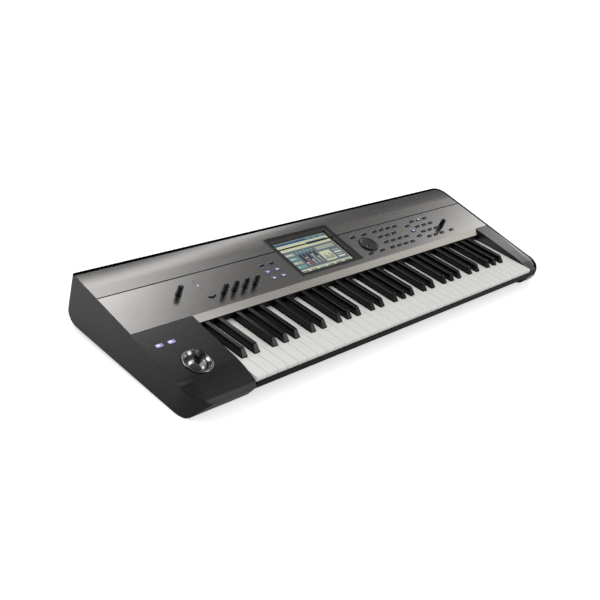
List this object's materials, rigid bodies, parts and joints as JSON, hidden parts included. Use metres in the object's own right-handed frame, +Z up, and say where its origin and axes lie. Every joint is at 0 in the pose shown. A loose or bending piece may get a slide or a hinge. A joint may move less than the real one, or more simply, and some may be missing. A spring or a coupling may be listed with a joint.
{
  "type": "music workstation keyboard",
  "caption": "Synthesizer workstation: piano keys in hinged combs, tilted panel with screen, dial, knobs and buttons, joystick block at the left.",
  "frame": {"origin": "on the table under the middle of the case", "axes": "+X along the keyboard from bass to treble, -Y towards the player, +Z up"},
  "size_m": [1.027, 0.313, 0.093],
  "materials": {
    "black_case": "fine satin black",
    "brushed_aluminium": "brushed along the keyboard",
    "gloss_black": "gloss",
    "screen_glass": "lit screen under clear sheet",
    "dark_steel": "plain sheet",
    "white_key": "semi-gloss off-white",
    "black_key": "gloss",
    "knob_black": "satin",
    "button_grey": "satin",
    "lit_violet": "translucent, lit",
    "board_green": "solder mask",
    "rubber": "matte"
  },
  "bodies": {
    "case": {"left_end_block": "black_case", "right_end_block": "black_case", "bottom_case": "black_case", "rear_panel": "black_case", "control_panel": "brushed_aluminium", "rear_top_panel": "brushed_aluminium", "display_bezel": "gloss_black", "display_screen": "screen_glass", "key_bed": "dark_steel", "key_strip": "gloss_black", "joystick_ring": "gloss_black", "audio_jacks": "gloss_black", "data_sockets": "gloss_black", "power_inlet": "gloss_black", "main_board": "board_green", "foot_front_left": "rubber", "foot_front_right": "rubber", "foot_rear_left": "rubber", "foot_rear_right": "rubber"},
    "octave_1_naturals_a": {"octave_1_naturals_a": "white_key"},
    "octave_1_naturals_b": {"octave_1_naturals_b": "white_key"},
    "octave_1_sharps": {"octave_1_sharps": "black_key"},
    "octave_2_naturals_a": {"octave_2_naturals_a": "white_key"},
    "octave_2_naturals_b": {"octave_2_naturals_b": "white_key"},
    "octave_2_sharps": {"octave_2_sharps": "black_key"},
    "octave_4_naturals_a": {"octave_4_naturals_a": "white_key"},
    "octave_4_naturals_b": {"octave_4_naturals_b": "white_key"},
    "octave_4_sharps": {"octave_4_sharps": "black_key"},
    "octave_5_naturals_a": {"octave_5_naturals_a": "white_key"},
    "octave_5_naturals_b": {"octave_5_naturals_b": "white_key"},
    "octave_5_sharps": {"octave_5_sharps": "black_key"},
    "key_c": {"key_c": "white_key"},
    "key_c_sharp": {"key_c_sharp": "black_key"},
    "key_d": {"key_d": "white_key"},
    "key_d_sharp": {"key_d_sharp": "black_key"},
    "key_e": {"key_e": "white_key"},
    "key_f": {"key_f": "white_key"},
    "key_f_sharp": {"key_f_sharp": "black_key"},
    "key_g": {"key_g": "white_key"},
    "key_g_sharp": {"key_g_sharp": "black_key"},
    "key_a": {"key_a": "white_key"},
    "key_a_sharp": {"key_a_sharp": "black_key"},
    "key_b": {"key_b": "white_key"},
    "volume_knob": {"volume_knob": "knob_black"},
    "tempo_knob": {"tempo_knob": "knob_black"},
    "control_knob_1": {"control_knob_1": "knob_black"},
    "control_knob_2": {"control_knob_2": "knob_black"},
    "control_knob_3": {"control_knob_3": "knob_black"},
    "control_knob_4": {"control_knob_4": "knob_black"},
    "value_dial": {"value_dial": "knob_black"},
    "select_button": {"select_button": "button_grey"},
    "left_buttons": {"left_button_mat": "lit_violet"},
    "dial_buttons": {"dial_button_mat": "button_grey"},
    "bank_buttons": {"bank_button_mat": "button_grey"},
    "sequencer_buttons": {"sequencer_button_mat": "button_grey"},
    "assign_switch_1": {"assign_switch_1": "lit_violet"},
    "assign_switch_2": {"assign_switch_2": "lit_violet"},
    "joystick_gimbal": {"joystick_gimbal": "dark_steel"},
    "joystick_stick": {"joystick_stick": "gloss_black"},
    "power_button": {"power_button": "knob_black"}
  },
  "joints": [
    {"name": "octave_1_naturals_a_press", "type": "hinge", "parent": "case", "child": "octave_1_naturals_a", "pos_m": [-0.30443, 0.053, 0.0328], "axis": [1, 0, 0], "range_deg": [0, 2.39], "stiffness_Nm_per_rad": 2.4, "springref_deg": -11.46},
    {"name": "octave_1_naturals_b_press", "type": "hinge", "parent": "case", "child": "octave_1_naturals_b", "pos_m": [-0.30396, 0.061, 0.0328], "axis": [1, 0, 0], "range_deg": [0, 2.39], "stiffness_Nm_per_rad": 1.8, "springref_deg": -11.46},
    {"name": "octave_1_sharps_press", "type": "hinge", "parent": "case", "child": "octave_1_sharps", "pos_m": [-0.30396, 0.069, 0.0328], "axis": [1, 0, 0], "range_deg": [0, 2.39], "stiffness_Nm_per_rad": 2.5, "springref_deg": -11.46},
    {"name": "octave_2_naturals_a_press", "type": "hinge", "parent": "case", "child": "octave_2_naturals_a", "pos_m": [-0.13989, 0.053, 0.0328], "axis": [1, 0, 0], "range_deg": [0, 2.39], "stiffness_Nm_per_rad": 2.4, "springref_deg": -11.46},
    {"name": "octave_2_naturals_b_press", "type": "hinge", "parent": "case", "child": "octave_2_naturals_b", "pos_m": [-0.13942, 0.061, 0.0328], "axis": [1, 0, 0], "range_deg": [0, 2.39], "stiffness_Nm_per_rad": 1.8, "springref_deg": -11.46},
    {"name": "octave_2_sharps_press", "type": "hinge", "parent": "case", "child": "octave_2_sharps", "pos_m": [-0.13942, 0.069, 0.0328], "axis": [1, 0, 0], "range_deg": [0, 2.39], "stiffness_Nm_per_rad": 2.5, "springref_deg": -11.46},
    {"name": "key_c_press", "type": "hinge", "parent": "case", "child": "key_c", "pos_m": [-0.04587, 0.053, 0.0328], "axis": [1, 0, 0], "range_deg": [0, 2.39], "stiffness_Nm_per_rad": 0.6, "springref_deg": -11.46},
    {"name": "key_d_press", "type": "hinge", "parent": "case", "child": "key_d", "pos_m": [-0.02236, 0.061, 0.0328], "axis": [1, 0, 0], "range_deg": [0, 2.39], "stiffness_Nm_per_rad": 0.6, "springref_deg": -11.46},
    {"name": "key_e_press", "type": "hinge", "parent": "case", "child": "key_e", "pos_m": [0.00114, 0.053, 0.0328], "axis": [1, 0, 0], "range_deg": [0, 2.39], "stiffness_Nm_per_rad": 0.6, "springref_deg": -11.46},
    {"name": "key_f_press", "type": "hinge", "parent": "case", "child": "key_f", "pos_m": [0.02465, 0.061, 0.0328], "axis": [1, 0, 0], "range_deg": [0, 2.39], "stiffness_Nm_per_rad": 0.6, "springref_deg": -11.46},
    {"name": "key_g_press", "type": "hinge", "parent": "case", "child": "key_g", "pos_m": [0.04815, 0.053, 0.0328], "axis": [1, 0, 0], "range_deg": [0, 2.39], "stiffness_Nm_per_rad": 0.6, "springref_deg": -11.46},
    {"name": "key_a_press", "type": "hinge", "parent": "case", "child": "key_a", "pos_m": [0.07166, 0.061, 0.0328], "axis": [1, 0, 0], "range_deg": [0, 2.39], "stiffness_Nm_per_rad": 0.6, "springref_deg": -11.46},
    {"name": "key_b_press", "type": "hinge", "parent": "case", "child": "key_b", "pos_m": [0.09516, 0.053, 0.0328], "axis": [1, 0, 0], "range_deg": [0, 2.39], "stiffness_Nm_per_rad": 0.6, "springref_deg": -11.46},
    {"name": "key_c_sharp_press", "type": "hinge", "parent": "case", "child": "key_c_sharp", "pos_m": [-0.0367, 0.069, 0.0328], "axis": [1, 0, 0], "range_deg": [0, 2.39], "stiffness_Nm_per_rad": 0.5, "springref_deg": -11.46},
    {"name": "key_d_sharp_press", "type": "hinge", "parent": "case", "child": "key_d_sharp", "pos_m": [-0.0085, 0.069, 0.0328], "axis": [1, 0, 0], "range_deg": [0, 2.39], "stiffness_Nm_per_rad": 0.5, "springref_deg": -11.46},
    {"name": "key_f_sharp_press", "type": "hinge", "parent": "case", "child": "key_f_sharp", "pos_m": [0.03334, 0.069, 0.0328], "axis": [1, 0, 0], "range_deg": [0, 2.39], "stiffness_Nm_per_rad": 0.5, "springref_deg": -11.46},
    {"name": "key_g_sharp_press", "type": "hinge", "parent": "case", "child": "key_g_sharp", "pos_m": [0.06014, 0.069, 0.0328], "axis": [1, 0, 0], "range_deg": [0, 2.39], "stiffness_Nm_per_rad": 0.5, "springref_deg": -11.46},
    {"name": "key_a_sharp_press", "type": "hinge", "parent": "case", "child": "key_a_sharp", "pos_m": [0.08694, 0.069, 0.0328], "axis": [1, 0, 0], "range_deg": [0, 2.39], "stiffness_Nm_per_rad": 0.5, "springref_deg": -11.46},
    {"name": "octave_4_naturals_a_press", "type": "hinge", "parent": "case", "child": "octave_4_naturals_a", "pos_m": [0.18919, 0.053, 0.0328], "axis": [1, 0, 0], "range_deg": [0, 2.39], "stiffness_Nm_per_rad": 2.4, "springref_deg": -11.46},
    {"name": "octave_4_naturals_b_press", "type": "hinge", "parent": "case", "child": "octave_4_naturals_b", "pos_m": [0.18966, 0.061, 0.0328], "axis": [1, 0, 0], "range_deg": [0, 2.39], "stiffness_Nm_per_rad": 1.8, "springref_deg": -11.46},
    {"name": "octave_4_sharps_press", "type": "hinge", "parent": "case", "child": "octave_4_sharps", "pos_m": [0.18966, 0.069, 0.0328], "axis": [1, 0, 0], "range_deg": [0, 2.39], "stiffness_Nm_per_rad": 2.5, "springref_deg": -11.46},
    {"name": "octave_5_naturals_a_press", "type": "hinge", "parent": "case", "child": "octave_5_naturals_a", "pos_m": [0.36548, 0.053, 0.0328], "axis": [1, 0, 0], "range_deg": [0, 2.39], "stiffness_Nm_per_rad": 3, "springref_deg": -11.46},
    {"name": "octave_5_naturals_b_press", "type": "hinge", "parent": "case", "child": "octave_5_naturals_b", "pos_m": [0.35419, 0.061, 0.0328], "axis": [1, 0, 0], "range_deg": [0, 2.39], "stiffness_Nm_per_rad": 1.8, "springref_deg": -11.46},
    {"name": "octave_5_sharps_press", "type": "hinge", "parent": "case", "child": "octave_5_sharps", "pos_m": [0.35419, 0.069, 0.0328], "axis": [1, 0, 0], "range_deg": [0, 2.39], "stiffness_Nm_per_rad": 2.5, "springref_deg": -11.46},
    {"name": "volume_turn", "type": "hinge", "parent": "case", "child": "volume_knob", "pos_m": [-0.3758, 0.0536, 0.07463], "axis": [0, -0.1609, 0.987], "range_deg": [-150, 150]},
    {"name": "tempo_turn", "type": "hinge", "parent": "case", "child": "tempo_knob", "pos_m": [0.3673, 0.0385, 0.07217], "axis": [0, -0.1609, 0.987], "range_deg": [-150, 150]},
    {"name": "control_1_turn", "type": "hinge", "parent": "case", "child": "control_knob_1", "pos_m": [-0.2943, 0.0299, 0.07076], "axis": [0, -0.1609, 0.987], "range_deg": [-150, 150]},
    {"name": "control_2_turn", "type": "hinge", "parent": "case", "child": "control_knob_2", "pos_m": [-0.2695, 0.0299, 0.07076], "axis": [0, -0.1609, 0.987], "range_deg": [-150, 150]},
    {"name": "control_3_turn", "type": "hinge", "parent": "case", "child": "control_knob_3", "pos_m": [-0.2447, 0.0299, 0.07076], "axis": [0, -0.1609, 0.987], "range_deg": [-150, 150]},
    {"name": "control_4_turn", "type": "hinge", "parent": "case", "child": "control_knob_4", "pos_m": [-0.2199, 0.0299, 0.07076], "axis": [0, -0.1609, 0.987], "range_deg": [-150, 150]},
    {"name": "value_dial_turn", "type": "hinge", "parent": "case", "child": "value_dial", "pos_m": [0.1179, 0.0452, 0.07326], "axis": [0, -0.1609, 0.987], "continuous": true},
    {"name": "select_press", "type": "slide", "parent": "case", "child": "select_button", "axis": [0, 0.1609, -0.987], "range_m": [0, 0.0006], "stiffness_N_per_m": 400, "springref_m": -0.0006},
    {"name": "left_buttons_press", "type": "slide", "parent": "case", "child": "left_buttons", "axis": [0, 0.1609, -0.987], "range_m": [0, 0.0006], "stiffness_N_per_m": 800, "springref_m": -0.0006},
    {"name": "dial_buttons_press", "type": "slide", "parent": "case", "child": "dial_buttons", "axis": [0, 0.1609, -0.987], "range_m": [0, 0.0006], "stiffness_N_per_m": 800, "springref_m": -0.0006},
    {"name": "bank_buttons_press", "type": "slide", "parent": "case", "child": "bank_buttons", "axis": [0, 0.1609, -0.987], "range_m": [0, 0.0006], "stiffness_N_per_m": 1200, "springref_m": -0.0006},
    {"name": "sequencer_buttons_press", "type": "slide", "parent": "case", "child": "sequencer_buttons", "axis": [0, 0.1609, -0.987], "range_m": [0, 0.0006], "stiffness_N_per_m": 1200, "springref_m": -0.0006},
    {"name": "assign_1_press", "type": "slide", "parent": "case", "child": "assign_switch_1", "axis": [0, 0.1338, -0.991], "range_m": [0, 0.0008], "stiffness_N_per_m": 400, "springref_m": -0.0006},
    {"name": "assign_2_press", "type": "slide", "parent": "case", "child": "assign_switch_2", "axis": [0, 0.1338, -0.991], "range_m": [0, 0.0008], "stiffness_N_per_m": 400, "springref_m": -0.0006},
    {"name": "joystick_push", "type": "hinge", "parent": "case", "child": "joystick_gimbal", "pos_m": [-0.4539, -0.08394, 0.03952], "axis": [1, 0, 0], "range_deg": [-18, 18], "stiffness_Nm_per_rad": 0.2},
    {"name": "joystick_bend", "type": "hinge", "parent": "joystick_gimbal", "child": "joystick_stick", "pos_m": [-0.4539, -0.08394, 0.03952], "axis": [0, 0.991, 0.1338], "range_deg": [-18, 18], "stiffness_Nm_per_rad": 0.2},
    {"name": "power_press", "type": "slide", "parent": "case", "child": "power_button", "axis": [0, -1, 0], "range_m": [0, 0.0012], "stiffness_N_per_m": 600, "springref_m": -0.0006}
  ]
}
